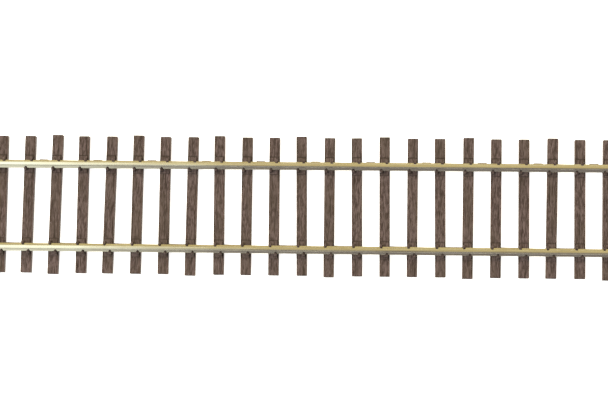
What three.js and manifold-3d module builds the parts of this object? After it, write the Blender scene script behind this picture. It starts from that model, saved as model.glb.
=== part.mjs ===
// A straight section of HO gauge model railway track: two flat-bottomed rails
// held by moulded spike heads on a strip of plastic ties.
//
// Millimetres. X runs along the rails, Y across them and Z up. The origin is on
// the underside, at the middle of the section and halfway between the rails.
// Looking along +X, the left rail is the one on the +Y side.

import * as THREE from 'three';
import { mergeVertices } from 'three/addons/utils/BufferGeometryUtils.js';
import Module from 'manifold-3d';

const wasm = await Module();
wasm.setup();

// ---- Driving dimensions ----

// Section
const gauge = 16.5;                 // between the inner faces of the railheads
const tieCount = 27;
const tiePitch = 5.7;
const sectionLength = tieCount * tiePitch;

// Rail section
const railHeight = 1.78;
const headWidth = 0.81;
const headSideHeight = 0.38;        // straight side of the head, below its rounded corner
const headCorner = 0.12;            // reach of the curve at the head's top corners
const headUnderSlope = 0.12;        // fall from the head's lower edge in to the web
const railWebThickness = 0.36;
const railFillet = 0.16;            // reach of the curve from web to foot, and half of it to the head
const footWidth = 1.65;
const footEdge = 0.22;              // thickness at the foot's edge
const footSlope = 0.25;             // rise of the foot's top per millimetre inwards
const railCurveSteps = 3;

// Ties
const tieWidth = 2.15;
const tieHeight = 1.4;
const shortHalf = 14.275;           // from a tie's middle to a short end
const longEndExtra = 0.25;          // how much further a long end reaches
const tieShift = 0.33;              // the ties' middles lie this far to the +Y side of the track's

// How the ties vary. Each one is turned a little, seen from above, by a slow drift
// along the section and a quicker change from tie to tie. The turns and steps are
// in degrees.
const turnDrift = 0.5;
const driftStep = 20;
const driftStart = 150;
const turnJitter = 0.4;
const jitterStep = 137;
const longLeftEvery = 3;            // every third tie, from the second, has a long +Y end
const longLeftFirst = 2;
const longRightEvery = 5;           // every fifth tie has a long -Y end
const longRightFirst = 5;

// Tie plates
const plateLength = 1.7;            // along the rail
const plateWidth = 3.5;             // across the rail
const plateThickness = 0.12;

// Spike heads
const spikeWidth = 0.58;
const spikeReach = 0.3;             // how far the hook comes in over the foot
const spikeBack = 0.55;             // how far the head goes out from the foot's edge
const spikeTop = 0.62;              // above the rail's seat
const hookUnderside = 0.36;         // above the rail's seat
const spikeTipWidth = 0.26;
const spikeShoulder = 0.2;          // the sloped corner at the head's back
const spikeTipDrop = 0.14;          // fall of the head's top on its way to the tip
const footClearance = 0.05;         // between the foot's edge and the spike's shank
const outerSpikeShift = 0.46;       // along X from the plate's middle
const innerSpikeShift = -0.7;

// Webs between ties
const webHeight = 0.8;
const webShyHalf = 0.65;            // from the rail's centre to the web's -Y side
const leftWebWide = 0.8;            // the same to the +Y side, under the left rail
const rightWebWide = 1.0;           // the same, under the right rail
const webEndGap = 0.02;
const bumpReach = 1.1;              // from the rail's centre to the bump's face
const bumpBase = 2.35;              // along the rail, where the bump leaves the web
const bumpFace = 1.65;              // along the rail, at the bump's face

// ---- Values that follow ----

const railCentre = (gauge + headWidth) / 2;
const railSeat = tieHeight + plateThickness;
const embed = 0.2;                  // how deep a moulded feature starts below its surface
const weldDistance = 1e-4;          // corners closer than this are one corner

// ---- Materials ----

const tiePlastic = { color: 0x63564d, roughness: 0.8, metalness: 0 };
const nickelSilver = { color: 0xcbbf98, roughness: 0.35, metalness: 1 };

// ---- Helpers ----

function toSolid(geometry) {
  const bare = new THREE.BufferGeometry();
  bare.setAttribute('position', geometry.getAttribute('position'));
  bare.setIndex(geometry.index);
  const merged = mergeVertices(bare, weldDistance);
  const vertProperties = Float32Array.from(merged.getAttribute('position').array);
  const triVerts = Uint32Array.from(merged.index.array);
  return new wasm.Manifold(new wasm.Mesh({ numProp: 3, vertProperties, triVerts }));
}

function toGeometry(solid) {
  const mesh = solid.getMesh();
  const geometry = new THREE.BufferGeometry();
  geometry.setAttribute('position', new THREE.BufferAttribute(mesh.vertProperties, 3));
  geometry.setIndex(new THREE.BufferAttribute(mesh.triVerts, 1));
  geometry.computeVertexNormals();
  return geometry;
}

function polygon(points) {
  return new THREE.Shape(points.map(([x, y]) => new THREE.Vector2(x, y)));
}

// An outline drawn in plan, standing from z = low to z = high.
function standing(shape, low, high) {
  const geometry = new THREE.ExtrudeGeometry(shape, { depth: high - low, bevelEnabled: false });
  geometry.translate(0, 0, low);
  return geometry;
}

// An outline drawn across the track, in Y and Z, running along X about x = 0.
function running(shape, length, curveSegments) {
  const options = { depth: length, bevelEnabled: false, curveSegments };
  const geometry = new THREE.ExtrudeGeometry(shape, options);
  geometry.translate(0, 0, -length / 2);
  const alongX = new THREE.Matrix4().makeBasis(
    new THREE.Vector3(0, 1, 0),
    new THREE.Vector3(0, 0, 1),
    new THREE.Vector3(1, 0, 0),
  );
  geometry.applyMatrix4(alongX);
  return geometry;
}

function namedMesh(name, geometry, finish) {
  const mesh = new THREE.Mesh(geometry, new THREE.MeshStandardMaterial(finish));
  mesh.name = name;
  return mesh;
}

function numbered(name, number) {
  return `${name}_${String(number).padStart(2, '0')}`;
}

// ---- Rails ----

// The right half of the section, from the foot's middle round to the flat of the
// head's top. The other half is its mirror image.
function railHalf() {
  const web = railWebThickness / 2;
  const foot = footWidth / 2;
  const head = headWidth / 2;
  const footTopAtWeb = footEdge + footSlope * (foot - web);
  const headLowerEdge = railHeight - headCorner - headSideHeight;
  const headUnderAtWeb = headLowerEdge - headUnderSlope;
  const half = new THREE.Path();
  half.moveTo(0, 0);
  half.lineTo(foot, 0);
  half.lineTo(foot, footEdge);
  half.lineTo(web + railFillet, footTopAtWeb - footSlope * railFillet);
  half.quadraticCurveTo(web, footTopAtWeb, web, footTopAtWeb + railFillet);
  half.lineTo(web, headUnderAtWeb - railFillet / 2);
  half.quadraticCurveTo(web, headUnderAtWeb, web + railFillet / 2, headUnderAtWeb + headUnderSlope / 2);
  half.lineTo(head, headLowerEdge);
  half.lineTo(head, railHeight - headCorner);
  half.quadraticCurveTo(head, railHeight, head - headCorner, railHeight);
  return half.getPoints(railCurveSteps);
}

function railGeometry() {
  const right = railHalf().slice(1);
  const left = right.map((point) => new THREE.Vector2(-point.x, point.y)).reverse();
  return running(new THREE.Shape([...right, ...left]), sectionLength, railCurveSteps);
}

function makeRail(name, y) {
  const rail = namedMesh(name, railGeometry(), nickelSilver);
  rail.position.set(0, y, railSeat);
  return rail;
}

// ---- Ties ----

function wave(degrees) {
  return Math.sin(THREE.MathUtils.degToRad(degrees));
}

function tieTurn(number) {
  const drift = turnDrift * wave(driftStep * number + driftStart);
  const jitter = turnJitter * wave(jitterStep * number);
  return THREE.MathUtils.degToRad(drift + jitter);
}

// How much further than a short end a tie's end reaches, where every so many ties,
// from the first one given, has a long end.
function endExtra(number, every, first) {
  return (number - first) % every === 0 ? longEndExtra : 0;
}

function tieX(number) {
  return (number - (tieCount + 1) / 2) * tiePitch;
}

// Where a tie's centre line stands at a distance y from the track's middle,
// measured along X from where the line crosses y = 0.
function centreLineShift(number, y) {
  return -y * Math.tan(tieTurn(number));
}

function tieBody(number) {
  const leftEnd = tieShift + shortHalf + endExtra(number, longLeftEvery, longLeftFirst);
  const rightEnd = tieShift - shortHalf - endExtra(number, longRightEvery, longRightFirst);
  const body = new THREE.BoxGeometry(tieWidth, leftEnd - rightEnd, tieHeight);
  body.translate(0, (leftEnd + rightEnd) / 2, tieHeight / 2);
  body.rotateZ(tieTurn(number));
  return toSolid(body);
}

function plate(x, y) {
  const block = new THREE.BoxGeometry(plateLength, plateWidth, plateThickness + embed);
  block.translate(x, y, tieHeight + (plateThickness - embed) / 2);
  return toSolid(block);
}

// A spike head on the +Y side of a rail whose centre is at the origin, with z = 0
// at the rail's seat. Its side view is a hook over the rail's foot, and its plan
// narrows to the tip.
function spikeHead() {
  const edge = footWidth / 2;
  const tip = edge - spikeReach;
  const back = edge + spikeBack;
  const planCorner = spikeShoulder / 2;
  const sideView = polygon([
    [edge + footClearance, -embed],
    [back, -embed],
    [back, spikeTop - spikeShoulder],
    [back - spikeShoulder, spikeTop],
    [edge - planCorner, spikeTop],
    [tip, spikeTop - spikeTipDrop],
    [tip, hookUnderside],
    [edge + footClearance, hookUnderside],
  ]);
  const half = spikeWidth / 2;
  const tipHalf = spikeTipWidth / 2;
  const plan = polygon([
    [-tipHalf, tip],
    [tipHalf, tip],
    [half, edge],
    [half, back - planCorner],
    [half - planCorner, back],
    [planCorner - half, back],
    [-half, back - planCorner],
    [-half, edge],
  ]);
  const hook = toSolid(running(sideView, spikeWidth, 1));
  return hook.intersect(toSolid(standing(plan, -2 * embed, railHeight)));
}

// The two spike heads of one rail, placed for a plate whose middle is at x, y.
// outward is +1 for the left rail and -1 for the right one.
function spikePair(x, y, outward) {
  const spikes = [
    { side: outward, shift: outerSpikeShift },
    { side: -outward, shift: innerSpikeShift },
  ];
  return spikes.map(({ side, shift }) => {
    const facing = spikeHead().rotate([0, 0, side > 0 ? 0 : 180]);
    return facing.translate([x + shift, y, railSeat]);
  });
}

function makeTie(number) {
  let solid = tieBody(number);
  for (const outward of [1, -1]) {
    const y = outward * railCentre;
    const x = centreLineShift(number, y);
    solid = solid.add(plate(x, y));
    for (const spike of spikePair(x, y, outward)) {
      solid = solid.add(spike);
    }
  }
  const tie = namedMesh(numbered('tie', number), toGeometry(solid), tiePlastic);
  tie.position.x = tieX(number);
  return tie;
}

// ---- Webs ----

// X of a tie's side face at a given y. side is +1 for its +X face, -1 for its -X face.
function tieSideX(number, side, y) {
  const halfAcross = tieWidth / 2 / Math.cos(tieTurn(number));
  return tieX(number) + centreLineShift(number, y) + side * halfAcross;
}

// The web between tie `number` and the next one. Webs lie under the left rail and
// the right rail by turns, so that the strip can bend. Those under the left rail
// have a small bump on their outer side.
function makeWeb(number) {
  const underLeft = number % 2 === 0;
  const y = underLeft ? railCentre : -railCentre;
  const low = y - webShyHalf;
  const high = y + (underLeft ? leftWebWide : rightWebWide);
  const startX = (atY) => tieSideX(number, 1, atY) + webEndGap;
  const endX = (atY) => tieSideX(number + 1, -1, atY) - webEndGap;
  const middle = (startX(high) + endX(high)) / 2;
  const bump = [
    [middle + bumpBase / 2, high],
    [middle + bumpFace / 2, y + bumpReach],
    [middle - bumpFace / 2, y + bumpReach],
    [middle - bumpBase / 2, high],
  ];
  const outline = polygon([
    [startX(low), low],
    [endX(low), low],
    [endX(high), high],
    ...(underLeft ? bump : []),
    [startX(high), high],
  ]);
  return namedMesh(numbered('web', number), standing(outline, 0, webHeight), tiePlastic);
}

// ---- Assembly ----

const tieStrip = new THREE.Group();
for (let number = 1; number <= tieCount; number += 1) {
  tieStrip.add(makeTie(number));
}
for (let number = 1; number < tieCount; number += 1) {
  tieStrip.add(makeWeb(number));
}

const track = new THREE.Group();
track.add(tieStrip);
track.add(makeRail('left_rail', railCentre));
track.add(makeRail('right_rail', -railCentre));

export default track;
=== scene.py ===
import math

import bmesh
import bpy
import numpy as np
from mathutils import Euler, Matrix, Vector


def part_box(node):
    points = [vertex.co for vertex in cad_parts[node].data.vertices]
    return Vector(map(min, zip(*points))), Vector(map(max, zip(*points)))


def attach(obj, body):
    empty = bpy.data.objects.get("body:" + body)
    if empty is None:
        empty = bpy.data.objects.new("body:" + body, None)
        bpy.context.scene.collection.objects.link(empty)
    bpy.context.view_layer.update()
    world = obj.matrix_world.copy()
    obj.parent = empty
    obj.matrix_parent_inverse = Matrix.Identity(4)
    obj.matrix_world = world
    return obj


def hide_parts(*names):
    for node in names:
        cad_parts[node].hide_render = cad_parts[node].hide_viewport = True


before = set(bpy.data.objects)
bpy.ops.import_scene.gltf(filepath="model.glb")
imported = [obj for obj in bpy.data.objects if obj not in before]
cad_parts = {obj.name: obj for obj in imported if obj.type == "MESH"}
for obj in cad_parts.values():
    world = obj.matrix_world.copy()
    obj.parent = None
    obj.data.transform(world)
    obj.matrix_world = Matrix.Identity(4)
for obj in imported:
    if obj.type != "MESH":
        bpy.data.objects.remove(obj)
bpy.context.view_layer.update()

# A section of HO gauge flexible track: two nickel silver rails in the moulded
# spike heads of a wood-grained plastic tie strip. X runs along the rails, Y
# across them and Z up, in metres. MM turns the sizes below from millimetres.
MM = 0.001

# Rail section
HEAD_WIDTH = 0.81 * MM
HEAD_SIDE = 0.5 * MM
HEAD_UNDER = 0.12 * MM
HEAD_CROWN = 0.014 * MM
RAIL_WEB = 0.36 * MM
FOOT_EDGE = 0.22 * MM
FOOT_SLOPE = 0.25
RAIL_END_BURR = 0.03 * MM
RAIL_STATIONS = 60
RAIL_STATION_MARGIN = 2 * MM
RAIL_CORNER_STEPS = 5
# Painted shade and roughness weight on the rail head's sides.
HEAD_SIDE_SHADE_AND_DULLNESS = 1.0

# Ties
TIE_EDGE_RADIUS = 0.07 * MM
TIE_STATION = 0.25 * MM
TIE_TOP_CELLS = 24
TIE_SIDE_CELLS = 6
CORNER_STEPS = 3
GRAIN_DEPTH = 0.07 * MM
GROOVES_PER_TIE = 26

# Tie plates and spike heads. The sizes from PLATE_LENGTH to INNER_SPIKE_SHIFT are the CAD's.
PLATE_LENGTH = 1.7 * MM
PLATE_WIDTH = 3.5 * MM
PLATE_THICKNESS = 0.12 * MM
SPIKE_WIDTH = 0.58 * MM
SPIKE_TIP_WIDTH = 0.26 * MM
SPIKE_REACH = 0.3 * MM
SPIKE_BACK = 0.55 * MM
SPIKE_TOP = 0.62 * MM
HOOK_UNDERSIDE = 0.36 * MM
FOOT_CLEARANCE = 0.05 * MM
OUTER_SPIKE_SHIFT = 0.46 * MM
INNER_SPIKE_SHIFT = -0.7 * MM
EMBED = 0.08 * MM
SEAT_GAP = 0.005 * MM
SPIKE_CORNER_STEPS = 4

# Webs. WEB_WARMTH is how far they take on the reddish brown of the ties' edges, from 0 to 1.
WEB_WARMTH = 0.9
WEB_EDGE_RADIUS = 0.06 * MM

# Camera
CAMERA_DISTANCE = 320 * MM
CAMERA_AIM = Vector((0.42 * MM, 1.27 * MM, 0.0))
CAMERA_TILT = 5.12
CAMERA_LEAN = 2.81
CAMERA_ROLL = 0.80
SENSOR_WIDTH = 36.0
LENS = 91.5

# Stage
FLOOR_HALF = 4.0
FLOOR_RIM = 0.8
FLOOR_DROP = 0.02 * MM
LEFT_SOFTBOX = {"location": (-0.9, 0.2, 1.1), "size": (0.8, 0.8), "energy": 17, "colour": (1.0, 0.99, 0.95)}
BACK_SOFTBOX = {"location": (0.3, 1.0, 1.2), "size": (0.8, 0.6), "energy": 8, "colour": (1.0, 0.96, 0.88)}

LEFT_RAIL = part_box("left_rail")
RIGHT_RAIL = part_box("right_rail")
RAIL_SEAT = LEFT_RAIL[0][2]
RAIL_HEIGHT = LEFT_RAIL[1][2] - RAIL_SEAT
FOOT_WIDTH = LEFT_RAIL[1][1] - LEFT_RAIL[0][1]
RAIL_CENTRE = (LEFT_RAIL[0][1] + LEFT_RAIL[1][1] - RIGHT_RAIL[0][1] - RIGHT_RAIL[1][1]) / 4
TIE_HEIGHT = RAIL_SEAT - PLATE_THICKNESS
TIE_NODES = sorted(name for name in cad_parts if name.startswith("tie_"))
WEB_NODES = sorted(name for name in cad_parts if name.startswith("web_"))


# ---- Materials ----

class Nodes:
    """Adds shader nodes to one material or world, and links them."""

    def __init__(self, owner):
        owner.use_nodes = True
        self.tree = owner.node_tree
        self.tree.nodes.clear()

    def add(self, kind, **settings):
        node = self.tree.nodes.new(kind)
        for name, value in settings.items():
            if name in node.inputs:
                node.inputs[name].default_value = value
            else:
                setattr(node, name, value)
        return node

    def link(self, source, target):
        self.tree.links.new(source, target)

    def fill(self, socket, value):
        """Gives a socket its value: a link from another socket, or a number or colour."""
        if isinstance(value, bpy.types.NodeSocket):
            self.link(value, socket)
        else:
            socket.default_value = value

    def mix(self, factor, a, b):
        """A colour mix of two sockets or colours; factor is a socket or a number."""
        node = self.tree.nodes.new("ShaderNodeMix")
        node.data_type = "RGBA"
        self.fill(node.inputs["Factor"], factor)
        self.fill(node.inputs[6], a)
        self.fill(node.inputs[7], b)
        return node.outputs[2]

    def maths(self, operation, a, b):
        node = self.tree.nodes.new("ShaderNodeMath")
        node.operation = operation
        self.fill(node.inputs[0], a)
        self.fill(node.inputs[1], b)
        return node.outputs[0]

    def spread(self, value, low, high, out_low=0.0, out_high=1.0):
        """value from low..high, smoothly on to out_low..out_high."""
        node = self.add("ShaderNodeMapRange", interpolation_type="SMOOTHSTEP")
        self.link(value, node.inputs["Value"])
        limits = {"From Min": low, "From Max": high, "To Min": out_low, "To Max": out_high}
        for name, number in limits.items():
            node.inputs[name].default_value = number
        return node.outputs[0]

    def noise(self, scale, stretch=(1.0, 1.0, 1.0), detail=3.0, rough=0.55):
        """Noise in the object's own coordinates; scale is cells per millimetre."""
        place = self.add("ShaderNodeTexCoord")
        mapping = self.add("ShaderNodeMapping", Scale=tuple(s * scale / MM for s in stretch))
        texture = self.add("ShaderNodeTexNoise", Scale=1.0, Detail=detail, Roughness=rough)
        self.link(place.outputs["Object"], mapping.inputs["Vector"])
        self.link(mapping.outputs[0], texture.inputs["Vector"])
        return texture.outputs["Fac"]

    def attribute(self, name):
        return self.add("ShaderNodeAttribute", attribute_name=name).outputs["Fac"]


def tie_plastic():
    material = bpy.data.materials.new("tie_plastic")
    nodes = Nodes(material)
    shader = nodes.add("ShaderNodeBsdfPrincipled", IOR=1.48)
    grain = nodes.noise(4.6, stretch=(1.0, 0.16, 1.0), detail=4.0, rough=0.7)
    patches = nodes.noise(0.35, stretch=(1.0, 0.4, 1.0))
    specks = nodes.noise(9.0, stretch=(1.0, 0.5, 1.0), detail=2.0)
    dark_grain, pale_grain = (0.046, 0.028, 0.023, 1), (0.142, 0.098, 0.090, 1)
    streaked = nodes.mix(nodes.spread(grain, 0.4, 0.6), dark_grain, pale_grain)
    patchy = nodes.spread(patches, 0.4, 0.65, 0.0, 0.45)
    warmed = nodes.mix(patchy, streaked, (0.080, 0.056, 0.040, 1))
    # Painted highlight: the "edge" weight, highest along the ties' long top edges, tints them reddish brown
    # in place of edge highlights and lens colour fringing; it is not wear.
    edge_highlight = nodes.spread(nodes.attribute("edge"), 0.2, 1.0, 0.0, 0.45)
    edged = nodes.mix(edge_highlight, warmed, (0.105, 0.052, 0.030, 1))
    # Painted shade: the "groove" weight darkens the plastic in the grain grooves, the sunk lines round the
    # plates, the plates' sides and the spike heads' ends, where shade falls.
    shade_by_depth = nodes.spread(nodes.attribute("groove"), 0.1, 0.8, 0.0, 0.85)
    sunk = nodes.mix(shade_by_depth, edged, (0.028, 0.017, 0.011, 1))
    nodes.link(sunk, shader.inputs["Base Color"])
    nodes.link(nodes.spread(grain, 0.3, 0.7, 0.78, 0.58), shader.inputs["Roughness"])
    height = nodes.maths("ADD", grain, nodes.maths("MULTIPLY", specks, 0.35))
    bump = nodes.add("ShaderNodeBump", Strength=0.8, Distance=0.02 * MM)
    nodes.link(height, bump.inputs["Height"])
    nodes.link(bump.outputs[0], shader.inputs["Normal"])
    output = nodes.add("ShaderNodeOutputMaterial")
    nodes.link(shader.outputs[0], output.inputs[0])
    return material


def nickel_silver():
    material = bpy.data.materials.new("nickel_silver")
    nodes = Nodes(material)
    shader = nodes.add("ShaderNodeBsdfPrincipled", Metallic=1.0)
    drawn = nodes.noise(6.0, stretch=(0.012, 1.0, 1.0), detail=4.0)
    cloudy = nodes.noise(0.16, stretch=(1.0, 0.6, 0.6), detail=3.0)
    pits = nodes.noise(7.0, detail=2.0)
    metal = nodes.mix(nodes.spread(drawn, 0.35, 0.65), (0.66, 0.585, 0.43, 1), (0.78, 0.715, 0.54, 1))
    aged = nodes.mix(nodes.spread(cloudy, 0.45, 0.7, 0.0, 0.35), metal, (0.58, 0.49, 0.33, 1))
    # Painted shade: the weight set in rail_outline darkens the web under the head and the head's sides,
    # where shade falls, and also makes them rougher.
    recess = nodes.attribute("recess")
    shaded_metal = nodes.mix(nodes.spread(recess, 0.0, 0.6, 0.0, 0.8), aged, (0.20, 0.18, 0.15, 1))
    nodes.link(shaded_metal, shader.inputs["Base Color"])
    worn = nodes.maths("ADD", drawn, nodes.maths("MULTIPLY", cloudy, 0.6))
    polish = nodes.spread(worn, 0.6, 1.0, 0.12, 0.20)
    rough = nodes.maths("ADD", polish, nodes.maths("MULTIPLY", recess, 0.4))
    nodes.link(rough, shader.inputs["Roughness"])
    height = nodes.maths("ADD", drawn, nodes.maths("MULTIPLY", pits, 0.25))
    bump = nodes.add("ShaderNodeBump", Strength=0.25, Distance=0.01 * MM)
    nodes.link(height, bump.inputs["Height"])
    nodes.link(bump.outputs[0], shader.inputs["Normal"])
    output = nodes.add("ShaderNodeOutputMaterial")
    nodes.link(shader.outputs[0], output.inputs[0])
    return material


# ---- Mesh building ----

class Shell:
    """Collects closed bodies and one weight per vertex for each named attribute."""

    def __init__(self, *attributes):
        self.points = []
        self.faces = []
        self.weights = {name: [] for name in attributes}

    def loft(self, rings, **weights):
        """A closed body from rings of equal length, capped at both ends."""
        rings = [np.asarray(ring, dtype=float) for ring in rings]
        around = len(rings[0])
        first = len(self.points)
        for ring in rings:
            self.points.extend(map(tuple, ring))
        for k in range(len(rings) - 1):
            low = first + k * around
            high = low + around
            for i in range(around):
                j = (i + 1) % around
                self.faces.append((low + i, low + j, high + j, high + i))
        self.cap(first, around, True)
        self.cap(first + (len(rings) - 1) * around, around, False)
        for name, values in self.weights.items():
            given = weights.get(name, 0.0)
            total = len(rings) * around
            values.extend(np.ravel(given) if np.ndim(given) else [given] * total)

    def cap(self, first, around, backwards):
        """Closes a ring with a ladder of quads from its start and its end."""
        for i in range(around // 2 - 1):
            face = [first + i, first + around - 1 - i, first + around - 2 - i, first + i + 1]
            self.faces.append(tuple(face) if not backwards else tuple(reversed(face)))
        if around % 2:
            middle = around // 2
            face = [first + middle - 1, first + middle + 1, first + middle]
            self.faces.append(tuple(face) if not backwards else tuple(reversed(face)))

    def piece(self, name, material, sharp_degrees):
        mesh = bpy.data.meshes.new(name)
        mesh.from_pydata(self.points, [], self.faces)
        for attribute, values in self.weights.items():
            layer = mesh.attributes.new(attribute, "FLOAT", "POINT")
            layer.data.foreach_set("value", np.asarray(values, dtype=np.float32))
        work = bmesh.new()
        work.from_mesh(mesh)
        bmesh.ops.recalc_face_normals(work, faces=work.faces)
        work.to_mesh(mesh)
        work.free()
        finish_mesh(mesh, material, sharp_degrees)
        piece = bpy.data.objects.new(name, mesh)
        bpy.context.scene.collection.objects.link(piece)
        return piece


def finish_mesh(mesh, material, sharp_degrees):
    mesh.materials.clear()
    mesh.materials.append(material)
    mesh.polygons.foreach_set("use_smooth", [True] * len(mesh.polygons))
    mesh.set_sharp_from_angle(angle=math.radians(sharp_degrees))


def rounded(corners, steps):
    """A closed outline through corners (a, b, radius), each one turned as an arc."""
    outline = []
    count = len(corners)
    for i in range(count):
        before = np.array(corners[i - 1][:2])
        here = np.array(corners[i][:2])
        after = np.array(corners[(i + 1) % count][:2])
        radius = corners[i][2]
        into = (before - here) / np.linalg.norm(before - here)
        out = (after - here) / np.linalg.norm(after - here)
        half = math.acos(np.clip(np.dot(into, out), -1, 1)) / 2
        reach = radius / math.tan(half)
        middle = here + (into + out) / np.linalg.norm(into + out) * radius / math.sin(half)
        start = here + into * reach - middle
        end = here + out * reach - middle
        for k in range(steps + 1):
            blend = k / steps
            arm = start * (1 - blend) + end * blend
            outline.append(middle + arm / np.linalg.norm(arm) * radius)
    return np.array(outline)


# ---- Rails ----

def rail_outline():
    """The section in Y and Z about the rail's centre, from its seat up, and each point's weight
    for painted shade and roughness.

    The web between head and foot gets the most painted shade and roughness, and the head's sides get more
    than its top.
    """
    foot = FOOT_WIDTH / 2
    web = RAIL_WEB / 2
    head = HEAD_WIDTH / 2
    neck = FOOT_EDGE + FOOT_SLOPE * (foot - web)
    chin = RAIL_HEIGHT - HEAD_SIDE
    half = [
        (foot, 0.0, 0.03 * MM),
        (foot, FOOT_EDGE, 0.06 * MM),
        (web, neck, 0.18 * MM),
        (web, chin - HEAD_UNDER, 0.1 * MM),
        (head, chin, 0.05 * MM),
        (head, RAIL_HEIGHT - HEAD_CROWN, 0.13 * MM),
        (head / 3, RAIL_HEIGHT, 1.2 * MM),
    ]
    corners = half + [(-y, z, r) for y, z, r in reversed(half)]
    outline = rounded(corners, RAIL_CORNER_STEPS)
    high = (outline[:, 1] > neck) & (outline[:, 1] < chin)
    shade_by_depth = 1 - (np.abs(outline[:, 0]) - web) / (head - web)
    recess = np.where(high, np.clip(shade_by_depth, 0, 1), 0.0)
    on_side = (outline[:, 1] >= chin - HEAD_UNDER) & (np.abs(outline[:, 0]) > head - 0.03 * MM)
    recess = np.where(on_side, np.maximum(recess, HEAD_SIDE_SHADE_AND_DULLNESS), recess)
    return outline, recess


def make_rail(name, metal):
    """A drawn rail with its end edges just dressed."""
    low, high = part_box(name)
    middle = (low[1] + high[1]) / 2
    outline, recess = rail_outline()
    waist = np.array([0.0, RAIL_HEIGHT / 2])
    inward = waist - outline
    inward /= np.linalg.norm(inward, axis=1)[:, None]
    plain = np.linspace(low[0] + RAIL_STATION_MARGIN, high[0] - RAIL_STATION_MARGIN, RAIL_STATIONS)
    ends = np.array([0.0, 0.4, 1.0]) * RAIL_END_BURR
    stations = [(low[0] + e, RAIL_END_BURR - e) for e in ends]
    stations += [(x, 0.0) for x in plain]
    stations += [(high[0] - e, RAIL_END_BURR - e) for e in reversed(ends)]
    rings = []
    for x, inset in stations:
        section = outline + inward * inset
        ring_y = middle + section[:, 0]
        ring = np.column_stack((np.full(len(section), x), ring_y, RAIL_SEAT + section[:, 1]))
        rings.append(ring)
    shell = Shell("recess")
    shell.loft(rings, recess=np.tile(recess, len(rings)))
    piece = shell.piece(name + "_drawn", metal, 50)
    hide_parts(name)
    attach(piece, name)


# ---- Ties ----

class TieFrame:
    """A tie's place, from the bottom corners of its CAD solid: s runs along it, t across it."""

    def __init__(self, node):
        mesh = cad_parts[node].data
        points = np.array([tuple(vertex.co) for vertex in mesh.vertices])
        bottom = points[points[:, 2] < 0.01 * MM][:, :2]
        corners = np.unique(np.round(bottom / (0.001 * MM)), axis=0) * 0.001 * MM
        by_y = corners[np.argsort(corners[:, 1])]
        near = by_y[:2].mean(axis=0)
        far = by_y[-2:].mean(axis=0)
        self.middle = (near + far) / 2
        self.half_length = np.linalg.norm(far - near) / 2
        self.along = (far - near) / np.linalg.norm(far - near)
        self.across = np.array([self.along[1], -self.along[0]])
        self.half_width = np.linalg.norm(by_y[-1] - by_y[-2]) / 2

    def plan(self, s, t):
        return self.middle + s[:, None, None] * self.along + t[None, :, None] * self.across

    def at_y(self, y):
        """X of the tie's centre line where it crosses y."""
        return self.middle[0] + (y - self.middle[1]) * self.along[0] / self.along[1]


class Grain:
    """Wood grain pressed into a tie: long wandering grooves, given as a depth from 0 to 1."""

    def __init__(self, random, half_length, half_width):
        self.half_length = half_length
        self.grooves = []
        for _ in range(GROOVES_PER_TIE):
            self.grooves.append({
                "t": random.uniform(-1.0, 1.0) * half_width,
                "s": random.uniform(-1.0, 1.0) * half_length,
                "reach": random.uniform(1.0, 5.0) * MM,
                "wander": random.uniform(0.02, 0.12) * MM,
                "wave": random.uniform(12.0, 40.0) * MM,
                "phase": random.uniform(0.0, 2 * math.pi),
                "width": random.uniform(0.05, 0.11) * MM,
                "depth": random.uniform(0.35, 1.0),
            })
        self.ripple_phase = random.uniform(0.0, 2 * math.pi, 3)

    def depth(self, s, t):
        total = np.zeros(np.broadcast(s, t).shape)
        for groove in self.grooves:
            bend = groove["wander"] * np.sin(2 * math.pi * s / groove["wave"] + groove["phase"])
            side = (t - groove["t"] - bend) / groove["width"]
            fade = np.clip(1 - ((s - groove["s"]) / groove["reach"]) ** 2, 0, 1)
            total = np.maximum(total, groove["depth"] * fade * np.exp(-side ** 2))
        ripple = 0.0
        for k, phase in enumerate(self.ripple_phase):
            sway = 0.6 * np.sin(s / ((3 + 2 * k) * MM))
            ripple = ripple + np.sin(t / ((0.06 + 0.025 * k) * MM) + phase + sway)
        return np.clip(total + 0.04 * ripple, 0, 1)


def plate_line(x, y, plates):
    """Depth of the sunk moulding line round each tie plate, from 0 to 1."""
    line = np.zeros(np.shape(x))
    for plate_x, plate_y in plates:
        out_x = np.abs(x - plate_x) - PLATE_LENGTH / 2
        out_y = np.abs(y - plate_y) - PLATE_WIDTH / 2
        away = np.maximum(out_x, out_y)
        line = np.maximum(line, np.exp(-((away - 0.06 * MM) / (0.11 * MM)) ** 2))
    return line


def tie_ring(half_width):
    """One ring round a tie, over the top: (t, z) points with the outward direction of each."""
    radius = TIE_EDGE_RADIUS
    side = [(-half_width, z, -1.0, 0.0) for z in np.linspace(0, TIE_HEIGHT - radius, TIE_SIDE_CELLS)]
    corner = []
    for k in range(1, CORNER_STEPS):
        angle = math.pi - k / CORNER_STEPS * math.pi / 2
        across, up = math.cos(angle), math.sin(angle)
        turned = (radius * (1 + across) - half_width, TIE_HEIGHT - radius * (1 - up))
        corner.append((*turned, across, up))
    width = half_width - radius
    top = [(t, TIE_HEIGHT, 0.0, 1.0) for t in np.linspace(-width, width, TIE_TOP_CELLS + 1)]
    left = side + corner
    right = [(-t, z, -across, up) for t, z, across, up in reversed(left)]
    return np.array(left + top + right)


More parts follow.
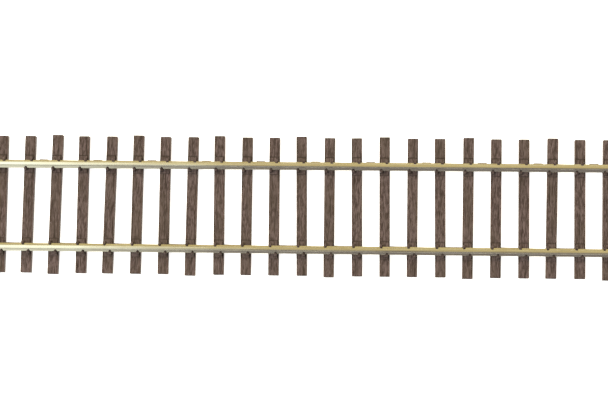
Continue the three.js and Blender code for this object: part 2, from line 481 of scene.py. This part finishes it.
def add_tie_body(shell, place, grain, plates, random):
    ring = tie_ring(place.half_width)
    t, z, out_t, out_z = ring.T
    dress = np.array([0.0, 0.3, 1.0]) * TIE_EDGE_RADIUS
    stations = int(2 * (place.half_length - TIE_EDGE_RADIUS) / TIE_STATION)
    inner = np.linspace(-place.half_length + TIE_EDGE_RADIUS, place.half_length - TIE_EDGE_RADIUS, stations)
    s_all = np.concatenate((-place.half_length + dress[:-1], inner, place.half_length - dress[-2::-1]))
    s, around = np.meshgrid(s_all, np.arange(len(ring)), indexing="ij")
    unrolled = np.where(out_z > 0.5, t, np.sign(t) * (place.half_width + TIE_HEIGHT - z))[around]
    sunk = grain.depth(s, unrolled)
    plan = place.plan(s_all, t)
    x, y = plan[..., 0], plan[..., 1]
    on_top = (out_z > 0.9)[around]
    line = np.where(on_top, plate_line(x, y, plates), 0.0)
    under_plate = np.zeros(x.shape)
    for plate_x, plate_y in plates:
        inside = (np.abs(x - plate_x) < PLATE_LENGTH / 2) & (np.abs(y - plate_y) < PLATE_WIDTH / 2)
        under_plate = np.where(inside, 1.0, under_plate)
    depth = np.maximum(sunk * (1 - under_plate), line)
    end_rough = np.clip(1 - (place.half_length - np.abs(s)) / (0.3 * MM), 0, 1)
    depth = np.clip(depth + 0.5 * end_rough * random.random(s.shape) * sunk.max(), 0, 1)
    foot = (z < 0.02 * MM)[around]
    inset = np.where(foot, 0.0, depth * GRAIN_DEPTH)
    bevel = TIE_EDGE_RADIUS - np.minimum(place.half_length - np.abs(s), TIE_EDGE_RADIUS)
    bevel = TIE_EDGE_RADIUS - np.sqrt(np.maximum(TIE_EDGE_RADIUS ** 2 - bevel ** 2, 0))
    inset = inset + np.where(foot, 0.0, bevel)
    t_in = t[around] - out_t[around] * inset
    z_in = z[around] - out_z[around] * inset
    rings = []
    for k, s_here in enumerate(s_all):
        flat = place.middle + s_here * place.along + np.outer(t_in[k], place.across)
        rings.append(np.column_stack((flat, z_in[k])))
    # Weight for the painted edge-highlight tint: highest along the long top edges, less on the sides.
    edge = np.clip(1 - (place.half_width - np.abs(t_in)) / (0.35 * MM), 0, 1)
    edge = np.where(z_in < TIE_HEIGHT - 0.25 * MM, 0.3, edge)
    # The grain and plate-line depth is also the "groove" weight, which the tie plastic turns into painted
    # shade.
    shell.loft(rings, groove=depth, edge=edge)


def add_plate(shell, x, y):
    """A tie plate, a hair below the rail's foot so that the rail slides clear of it."""
    half_x = PLATE_LENGTH / 2
    half_y = PLATE_WIDTH / 2
    top = PLATE_THICKNESS - SEAT_GAP
    levels = [(-EMBED, 0.0), (0.5 * top, 0.0), (0.85 * top, 0.02 * MM), (top, 0.06 * MM)]
    rings = []
    for up, inset in levels:
        a, b, r = half_x - inset, half_y - inset, 0.1 * MM - inset
        outline = rounded([(-a, -b, r), (a, -b, r), (a, b, r), (-a, b, r)], CORNER_STEPS)
        level = np.full(len(outline), TIE_HEIGHT + up)
        rings.append(np.column_stack((x + outline[:, 0], y + outline[:, 1], level)))
    around = len(rings[0])
    # Painted shade weights: darkest at the plate's foot, lighter up its side to the top.
    groove = np.concatenate([np.full(around, g) for g in (0.9, 0.7, 0.5, 0.26)])
    shell.loft(rings, groove=groove, edge=0.25)


def add_spike(shell, x, y, side):
    """A spike head over the rail's foot on its `side` (+1 or -1 in Y), lofted from back to tip."""
    edge = FOOT_WIDTH / 2
    tip = edge - SPIKE_REACH
    back = edge + SPIKE_BACK
    shank = edge + FOOT_CLEARANCE
    embed = -PLATE_THICKNESS - EMBED
    half = SPIKE_WIDTH / 2
    tip_half = SPIKE_TIP_WIDTH / 2
    sections = [
        (back, 0.55 * half, 0.5 * SPIKE_TOP, embed),
        (back - 0.03 * MM, 0.8 * half, 0.66 * SPIKE_TOP, embed),
        (back - 0.1 * MM, 0.97 * half, 0.83 * SPIKE_TOP, embed),
        (back - 0.2 * MM, half, 0.96 * SPIKE_TOP, embed),
        (back - 0.3 * MM, half, SPIKE_TOP, embed),
        (shank, half, SPIKE_TOP, embed),
        (shank - 0.001 * MM, half, SPIKE_TOP, HOOK_UNDERSIDE),
        (edge - 0.08 * MM, 0.86 * half, 0.97 * SPIKE_TOP, HOOK_UNDERSIDE),
        (edge - 0.18 * MM, 0.62 * half, 0.9 * SPIKE_TOP, HOOK_UNDERSIDE),
        (tip + 0.04 * MM, tip_half, 0.8 * SPIKE_TOP, HOOK_UNDERSIDE),
        (tip, 0.6 * tip_half, 0.72 * SPIKE_TOP, HOOK_UNDERSIDE + 0.02 * MM),
    ]
    rings = []
    for out, wide, top, under in sections:
        r = min(0.13 * MM, 0.45 * wide, 0.45 * (top - under))
        foot = 0.02 * MM
        corners = [(-wide, under, foot), (-wide, top, r), (wide, top, r), (wide, under, foot)]
        outline = rounded(corners, SPIKE_CORNER_STEPS)
        ring_y = np.full(len(outline), y + side * out)
        rings.append(np.column_stack((x + outline[:, 0], ring_y, RAIL_SEAT + outline[:, 1])))
    around = len(rings[0])
    # Painted shade weights: the back and tip of each spike head are darkened more than its middle.
    groove = np.concatenate([np.full(around, 0.6 if k < 2 or k > 8 else 0.22) for k in range(len(rings))])
    shell.loft(rings, groove=groove, edge=0.3)


def make_tie(node, plastic):
    random = np.random.default_rng(int(node.split("_")[1]))
    place = TieFrame(node)
    plates = [(place.at_y(y), y) for y in (RAIL_CENTRE, -RAIL_CENTRE)]
    shell = Shell("groove", "edge")
    add_tie_body(shell, place, Grain(random, place.half_length, place.half_width), plates, random)
    for plate_x, plate_y in plates:
        outward = math.copysign(1, plate_y)
        add_plate(shell, plate_x, plate_y)
        add_spike(shell, plate_x + OUTER_SPIKE_SHIFT, plate_y, outward)
        add_spike(shell, plate_x + INNER_SPIKE_SHIFT, plate_y, -outward)
    piece = shell.piece(node + "_moulded", plastic, 40)
    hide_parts(node)
    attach(piece, "tie_strip")


# ---- Webs ----

def make_web(node, plastic):
    """The CAD web with its edges moulded round."""
    work = bmesh.new()
    work.from_mesh(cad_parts[node].data)
    bmesh.ops.remove_doubles(work, verts=work.verts, dist=0.001 * MM)
    bmesh.ops.dissolve_limit(work, angle_limit=math.radians(1), verts=work.verts, edges=work.edges)
    bmesh.ops.bevel(work, geom=work.edges, offset=WEB_EDGE_RADIUS, segments=3, profile=0.5, affect="EDGES")
    mesh = bpy.data.meshes.new(node + "_moulded")
    work.to_mesh(mesh)
    work.free()
    warmth = mesh.attributes.new("edge", "FLOAT", "POINT")
    warmth.data.foreach_set("value", np.full(len(mesh.vertices), WEB_WARMTH, dtype=np.float32))
    finish_mesh(mesh, plastic, 40)
    piece = bpy.data.objects.new(node + "_moulded", mesh)
    bpy.context.scene.collection.objects.link(piece)
    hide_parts(node)
    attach(piece, "tie_strip")


# ---- Stage ----

def make_floor():
    """A pale floor, with a rim at its edges that hides the horizon from a low camera."""
    mesh = bpy.data.meshes.new("floor")
    plan = ((-1, -1), (1, -1), (1, 1), (-1, 1))
    corners = [(x * FLOOR_HALF, y * FLOOR_HALF, z) for z in (0, FLOOR_RIM) for x, y in plan]
    rim = [(i, (i + 1) % 4, (i + 1) % 4 + 4, i + 4) for i in range(4)]
    mesh.from_pydata(corners, [], [(0, 1, 2, 3)] + rim)
    floor = bpy.data.objects.new("floor", mesh)
    bpy.context.scene.collection.objects.link(floor)
    material = bpy.data.materials.new("white_board")
    nodes = Nodes(material)
    shader = nodes.add("ShaderNodeBsdfPrincipled", Roughness=0.9)
    shader.inputs["Base Color"].default_value = (0.93, 0.93, 0.91, 1)
    shader.inputs["Emission Color"].default_value = (1.0, 1.0, 0.985, 1)
    shader.inputs["Emission Strength"].default_value = 0.85
    output = nodes.add("ShaderNodeOutputMaterial")
    nodes.link(shader.outputs[0], output.inputs[0])
    mesh.materials.append(material)
    floor.location.z = -FLOOR_DROP


def make_world():
    """Soft light from all round: warm behind, cool above and in front.

    There is a bright window high on the left.
    """
    world = bpy.data.worlds.new("studio")
    bpy.context.scene.world = world
    nodes = Nodes(world)
    place = nodes.add("ShaderNodeTexCoord")
    parts = nodes.add("ShaderNodeSeparateXYZ")
    nodes.link(place.outputs["Generated"], parts.inputs[0])
    x, y = parts.outputs["X"], parts.outputs["Y"]
    cool_front, warm_back = (0.25, 0.24, 0.27, 1), (0.76, 0.67, 0.38, 1)
    front_to_back = nodes.mix(nodes.spread(y, -0.02, 0.10), cool_front, warm_back)
    on_left = nodes.spread(x, -0.1, -0.25)
    not_low = nodes.spread(x, -0.75, -0.45)
    leftward = nodes.maths("MULTIPLY", on_left, not_low)
    not_behind = nodes.spread(y, 0.42, 0.16)
    less_in_front = nodes.spread(y, -0.5, -0.12, 0.5, 1.0)
    overhead = nodes.maths("MULTIPLY", not_behind, less_in_front)
    window = nodes.maths("MULTIPLY", leftward, overhead)
    with_left = nodes.mix(window, front_to_back, (1.75, 1.95, 1.95, 1))
    background = nodes.add("ShaderNodeBackground", Strength=1.0)
    nodes.link(with_left, background.inputs["Color"])
    output = nodes.add("ShaderNodeOutputWorld")
    nodes.link(background.outputs[0], output.inputs[0])


def make_light(name, location, size, energy, colour):
    """A softbox aimed at the track. Neither the camera nor a reflection shows the box itself."""
    data = bpy.data.lights.new(name, "AREA")
    data.shape = "RECTANGLE"
    data.size, data.size_y = size
    data.energy = energy
    data.color = colour
    light = bpy.data.objects.new(name, data)
    light.location = location
    light.rotation_euler = (-Vector(location)).to_track_quat("-Z", "Y").to_euler()
    light.visible_camera = False
    light.visible_glossy = False
    bpy.context.scene.collection.objects.link(light)


def make_camera():
    """The camera above the track, turned by its tilt, lean and roll in degrees."""
    data = bpy.data.cameras.new("camera")
    data.sensor_width = SENSOR_WIDTH
    data.lens = LENS
    data.clip_start = 0.01
    camera = bpy.data.objects.new("camera", data)
    turn = Euler([math.radians(a) for a in (CAMERA_TILT, CAMERA_LEAN, CAMERA_ROLL)], "XYZ")
    camera.rotation_euler = turn
    camera.location = CAMERA_AIM + turn.to_matrix().col[2] * CAMERA_DISTANCE
    bpy.context.scene.collection.objects.link(camera)
    bpy.context.scene.camera = camera


make_camera()
make_floor()
make_world()
make_light("softbox_left", **LEFT_SOFTBOX)
make_light("softbox_back", **BACK_SOFTBOX)
bpy.context.scene.view_settings.view_transform = "Standard"

plastic = tie_plastic()
metal = nickel_silver()
for tie_node in TIE_NODES:
    make_tie(tie_node, plastic)
for web_node in WEB_NODES:
    make_web(web_node, plastic)
make_rail("left_rail", metal)
make_rail("right_rail", metal)
